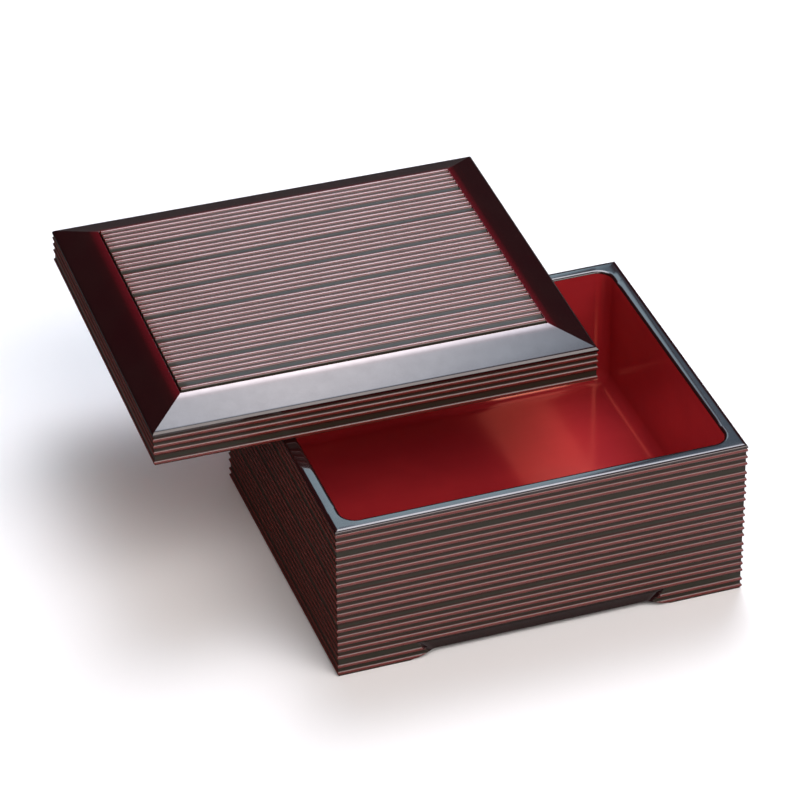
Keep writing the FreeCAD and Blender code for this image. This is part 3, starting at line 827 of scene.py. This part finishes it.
class LUNCHBOX_OT_lining(bpy.types.Operator):
    """Build the bottom board and the filled corners and coves of the inside"""

    bl_idname = "lunchbox.lining"
    bl_label = "Bottom and inside corners"

    def execute(self, context):
        box = context.scene.lunch_box
        black, red = lacquers()
        long_in = box.box_length - 2 * box.wall
        wide_in = box.box_width - 2 * box.wall
        tongue = 2 * box.floor_tongue
        rings, part, bend = board_rings(long_in + tongue, wide_in + tongue,
                                        box.floor_level - box.floor_thick, box.floor_level,
                                        context.scene.lunch_ridges.coat)
        floor = solid("bottom_board", rings, [black, red], part == BOARD_OVER,
                      bend=bend, plain=1.0)
        hand_over(floor, "box", ["bottom_board"])
        for side, facing, is_long in SIDES:
            along, across = (long_in, wide_in) if is_long else (wide_in, long_in)
            rings = cove_rings(along, across, box.corner_radius, box.cove_radius)
            node = "cove_filling_" + side
            piece = solid(node, turned(rings, facing, (0, 0, box.floor_level)), [red], 0)
            hand_over(piece, "box", [node])
        corners = (("front_left", -1, -1, 0.0), ("front_right", 1, -1, 0.5),
                   ("back_right", 1, 1, 1.0), ("back_left", -1, 1, 1.5))
        rings, on_rim = corner_rings(box)
        for corner, side_x, side_y, half_turns in corners:
            where = (side_x * long_in / 2, side_y * wide_in / 2, 0.0)
            node = "corner_filling_" + corner
            piece = solid(node, turned(rings, half_turns * math.pi, where), [red, black],
                          on_rim, plain=1.0)
            hand_over(piece, "box", [node])
        return {"FINISHED"}


class LUNCHBOX_OT_lid_frame(bpy.types.Operator):
    """Build the lid's four bevelled rails with their ribbed skirt"""

    bl_idname = "lunchbox.lid_frame"
    bl_label = "Lid rails"

    def execute(self, context):
        box = context.scene.lunch_box
        lid = context.scene.lunch_lid
        ridge = context.scene.lunch_ridges
        long_out, wide_out, middle = lid_place(lid, box)
        outline, part, bend = rail_outline(lid, ridge)
        depth, height = outline.T
        side_face = (part == RAIL_SIDE) & (height < lid.side - lid.lip)
        crest = np.where(side_face, np.clip(1 - depth / ridge.relief, 0.0, 1.0), 0.0)
        from_panel = (lid.frame_width - depth) / lid.edge_chamfer
        crest = np.where(part == RAIL_TOP, np.exp(-from_panel / GLOW_REACH), crest)
        for side, facing, is_long in SIDES:
            half = (long_out if is_long else wide_out) / 2
            along = stations_along(half)[:, None]
            rings = rings_of(mitred(along, half, depth), depth, height)
            rings = turned(rings, facing, outward(facing, long_out / 2, wide_out / 2))
            node = "lid_" + side + "_rail"
            piece = solid(node, turned(rings, lid.turn, middle), lacquers(), part == RAIL_SKIRT,
                          crest, bend, ~side_face)
            hand_over(piece, "lid", [node])
        return {"FINISHED"}


class LUNCHBOX_OT_lid_panel(bpy.types.Operator):
    """Build the ribbed panel and the backing board that carries it"""

    bl_idname = "lunchbox.lid_panel"
    bl_label = "Lid panel and backing"

    def execute(self, context):
        box = context.scene.lunch_box
        lid = context.scene.lunch_lid
        ridge = context.scene.lunch_ridges
        black, red = lacquers()
        long_out, wide_out, middle = lid_place(lid, box)
        inset = 2 * (lid.frame_width + lid.panel_gap)
        outline, part, bend, crest = panel_outline(lid, ridge, wide_out - inset)
        rings, eased = eased_ends(outline, (long_out - inset) / 2, EASING * ridge.coat)
        rings = rings + np.array([0.0, 0.0, lid.depth + lid.backing])
        bend = np.where(eased[:, None], EASED_BEND, bend)
        eased_top = eased[:, None] & (part == BOARD_OVER)
        crest = np.where(eased_top, np.maximum(crest, EASED_CREST), crest)
        panel = solid("lid_ribbed_panel", turned(rings, lid.turn, middle), [black], 0, crest,
                      bend)
        hand_over(panel, "lid", ["lid_ribbed_panel"])
        rings, part, bend = board_rings(long_out - 2 * lid.skirt, wide_out - 2 * lid.skirt,
                                        lid.depth, lid.depth + lid.backing, ridge.coat)
        backing = solid("lid_backing_board", turned(rings, lid.turn, middle), [black, red],
                        part == BOARD_UNDER, bend=bend, plain=1.0)
        hand_over(backing, "lid", ["lid_backing_board"])
        return {"FINISHED"}


# ---- the stage ----

# Each card: its name, the way to it from the object's middle, its distance, its width and height,
# its slide sideways and up in its own plane, its tone, the tone of its edges, its strength, and the
# share of its width and height over which each edge fades.
CARDS = (
    ("card_overhead", (0.24, 0.20, 0.95), 1.1, (0.8, 1.15), (-0.2, -0.19),
     (0.96, 0.94, 1.0), (0.55, 0.78, 1.0), 10.2, 0.33),
    ("card_behind", (0.36, 0.76, 0.56), 1.3, (0.36, 0.56), (-0.12, 0.13),
     (0.62, 0.86, 1.0), (0.4, 0.75, 1.0), 3.2, 0.16),
    ("card_beside", (0.36, 0.76, 0.56), 1.31, (0.7, 0.56), (0.05, 0.13),
     (0.4, 0.75, 1.0), (0.4, 0.75, 1.0), 1.1, 0.4),
    ("card_front", (0.12, -0.7, 0.8), 1.5, (2.0, 1.7), (-0.1, 0.0),
     (1.0, 0.94, 0.92), (1.0, 0.9, 0.88), 5.2, 0.35),
    ("card_left", (-0.95, -0.35, 0.5), 1.6, (1.2, 0.8), (0.0, 0.0),
     (1.0, 0.88, 0.84), (1.0, 0.88, 0.84), 4.5, 0.5),
    ("card_right", (0.95, -0.35, 0.5), 1.6, (1.2, 0.8), (0.0, 0.0),
     (0.96, 0.98, 1.0), (0.96, 0.98, 1.0), 0.7, 0.5),
)


def card_finish(name, tone, edge_tone, strength, fade):
    """Glow of a soft card: full in the middle, fading to nothing at its edges, dark behind."""
    finish = new_finish(name)
    uv = finish.node("ShaderNodeTexCoord", output="UV")

    def hump(axis):
        """A smooth rise from one edge and fall to the other, along one axis of the card."""
        place = finish.node("ShaderNodeSeparateXYZ", None, {"Vector": uv}, output=axis)
        return place.between(0.0, fade) * (1 - place.between(1 - fade, 1.0))

    glow = hump("X") * hump("Y")
    behind = finish.node("ShaderNodeNewGeometry", output="Backfacing")
    lit = finish.blend(glow, edge_tone, tone)
    colour_out = finish.blend(glow * (1 - behind), (0.0, 0.0, 0.0), lit)
    light = finish.node("ShaderNodeEmission", None, {"Color": colour_out, "Strength": strength})
    finish.node("ShaderNodeOutputMaterial", None, {"Surface": light})
    return finish.owner


def soft_card(middle, name, way, distance, size, slide, tone, edge_tone, strength, fade):
    """A glowing card at a distance from the object's middle, facing it, unseen by the camera."""
    way = Vector(way).normalized()
    across = way.cross(Vector((0, 0, 1))).normalized()
    up = across.cross(way)
    centre = middle + way * distance + across * slide[0] + up * slide[1]
    square = np.array([[0.0, 0.0], [1.0, 0.0], [1.0, 1.0], [0.0, 1.0]])
    corners = np.array(centre) + (square - 0.5) * size @ np.array([across, up])
    mesh = bpy.data.meshes.new(name)
    mesh.from_pydata(corners.tolist(), [], [(0, 1, 2, 3)])
    mesh.uv_layers.new(name="card").data.foreach_set("uv", square.ravel())
    mesh.materials.append(card_finish(name, tone, edge_tone, strength, fade))
    card = bpy.data.objects.new(name, mesh)
    bpy.context.scene.collection.objects.link(card)
    card.visible_camera = False
    card.visible_shadow = False


def round_floor(radius, tone):
    """A flat pale disc under the object, with painted shade where the lacquer mirrors it.

    In reflections the floor's colour is painted a quarter darker, and from the box's front
    backwards nearly black: a painted shade that stands in for a flag beside the set.
    """
    angles = np.linspace(0, 2 * math.pi, FLOOR_SIDES, endpoint=False)
    rim = np.stack([radius * np.cos(angles), radius * np.sin(angles), 0 * angles], axis=1)
    mesh = bpy.data.meshes.new("stage_floor")
    mesh.from_pydata(rim.tolist(), [], [list(range(FLOOR_SIDES))])
    finish = new_finish("stage_floor")
    pale = finish.blend(finish.grain(0.4, 2.0), tone, [part * 0.985 for part in tone])
    # Painted shade: for glossy rays the floor's colour is darkened a quarter, and nearly to black
    # behind the box's front.
    mirrored = finish.node("ShaderNodeLightPath", output="Is Glossy Ray")
    depth = finish.node("ShaderNodeSeparateXYZ", None,
                        {"Vector": finish.node("ShaderNodeTexCoord", output="Object")}, output="Y")
    beside = depth.between(*REFLECTION_SHADE_EDGE)
    shaded_in_reflections = finish.blend(mirrored * (0.25 + beside * 0.7), pale, (0.02, 0.018, 0.016))
    mesh.materials.append(finish.close({
        "Base Color": shaded_in_reflections, "Roughness": 0.9, "Specular IOR Level": 0.1}))
    floor = bpy.data.objects.new("stage_floor", mesh)
    bpy.context.scene.collection.objects.link(floor)


def studio_air():
    """The room: pale where it is seen, softly bright where it lights and dim where it is mirrored."""
    air = Finish(bpy.data.worlds.new("studio"))
    room = air.node("ShaderNodeBackground", None, {"Color": (0.2, 0.2, 0.2, 1.0)})
    for ray, tone in (("Is Glossy Ray", (0.02, 0.02, 0.026, 1.0)),
                      ("Is Camera Ray", (0.9, 0.9, 0.9, 1.0))):
        seen = air.node("ShaderNodeLightPath", output=ray)
        other = air.node("ShaderNodeBackground", None, {"Color": tone})
        room = air.node("ShaderNodeMixShader", None, {0: seen, 1: room, 2: other})
    air.node("ShaderNodeOutputWorld", None, {"Surface": room})
    return air.owner


class LUNCHBOX_OT_stage(bpy.types.Operator):
    """Set the camera, the pale floor and the soft studio cards"""

    bl_idname = "lunchbox.stage"
    bl_label = "Stage"

    def execute(self, context):
        stage = context.scene.lunch_stage
        middle = (CAD_BOX[0] + CAD_BOX[1]) / 2
        self.camera(context, stage, middle + Vector(stage.aim))
        round_floor(stage.floor_radius, tuple(stage.floor_tone))
        self.lights(middle)
        context.scene.world = studio_air()
        context.scene.view_settings.view_transform = "Standard"
        return {"FINISHED"}

    def camera(self, context, stage, target):
        """A long lens on the object from its front left, looking down."""
        level = math.cos(stage.elevation)
        back = Vector((math.sin(stage.azimuth) * level, -math.cos(stage.azimuth) * level,
                       math.sin(stage.elevation)))
        data = bpy.data.cameras.new("camera")
        data.lens = stage.lens
        data.sensor_width = 36.0
        data.clip_start = 0.1
        data.clip_end = 20.0
        camera = bpy.data.objects.new("camera", data)
        facing = (-back).to_track_quat("-Z", "Y").to_matrix() @ Matrix.Rotation(stage.roll, 3, "Z")
        camera.matrix_world = Matrix.Translation(target + back * stage.distance) @ facing.to_4x4()
        context.scene.collection.objects.link(camera)
        context.scene.camera = camera

    def lights(self, middle):
        """The soft cards round the object."""
        for card in CARDS:
            soft_card(middle, *card)


OPERATORS = (LUNCHBOX_OT_finishes, LUNCHBOX_OT_walls, LUNCHBOX_OT_lining, LUNCHBOX_OT_lid_frame,
             LUNCHBOX_OT_lid_panel, LUNCHBOX_OT_stage)
GROUPS = {"lunch_box": BoxSizes, "lunch_lid": LidSizes, "lunch_ridges": RidgeSizes,
          "lunch_colours": LacquerColours, "lunch_stage": StageSizes}


class LUNCHBOX_PT_sidebar(bpy.types.Panel):
    """Sizes, colours and pieces of the lunch box"""

    bl_idname = "LUNCHBOX_PT_sidebar"
    bl_label = "Lacquered Lunch Box"
    bl_space_type = "VIEW_3D"
    bl_region_type = "UI"
    bl_category = "Lunch Box"

    def draw(self, context):
        for operator in OPERATORS:
            self.layout.operator(operator.bl_idname)
        for name, group in GROUPS.items():
            section = self.layout.box()
            for item in group.__annotations__:
                section.prop(getattr(context.scene, name), item)


def register():
    """Add the classes and give every scene its sizes."""
    for each in (*GROUPS.values(), *OPERATORS, LUNCHBOX_PT_sidebar):
        bpy.utils.register_class(each)
    for name, group in GROUPS.items():
        setattr(bpy.types.Scene, name, PointerProperty(type=group))


def unregister():
    """Take everything out again."""
    for name in GROUPS:
        delattr(bpy.types.Scene, name)
    for each in (LUNCHBOX_PT_sidebar, *OPERATORS[::-1], *GROUPS.values()):
        bpy.utils.unregister_class(each)


def main():
    """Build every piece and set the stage."""
    register()
    for operator in OPERATORS:
        group, name = operator.bl_idname.split(".")
        getattr(getattr(bpy.ops, group), name)()
    bpy.context.view_layer.update()


if __name__ == "__main__":
    main()
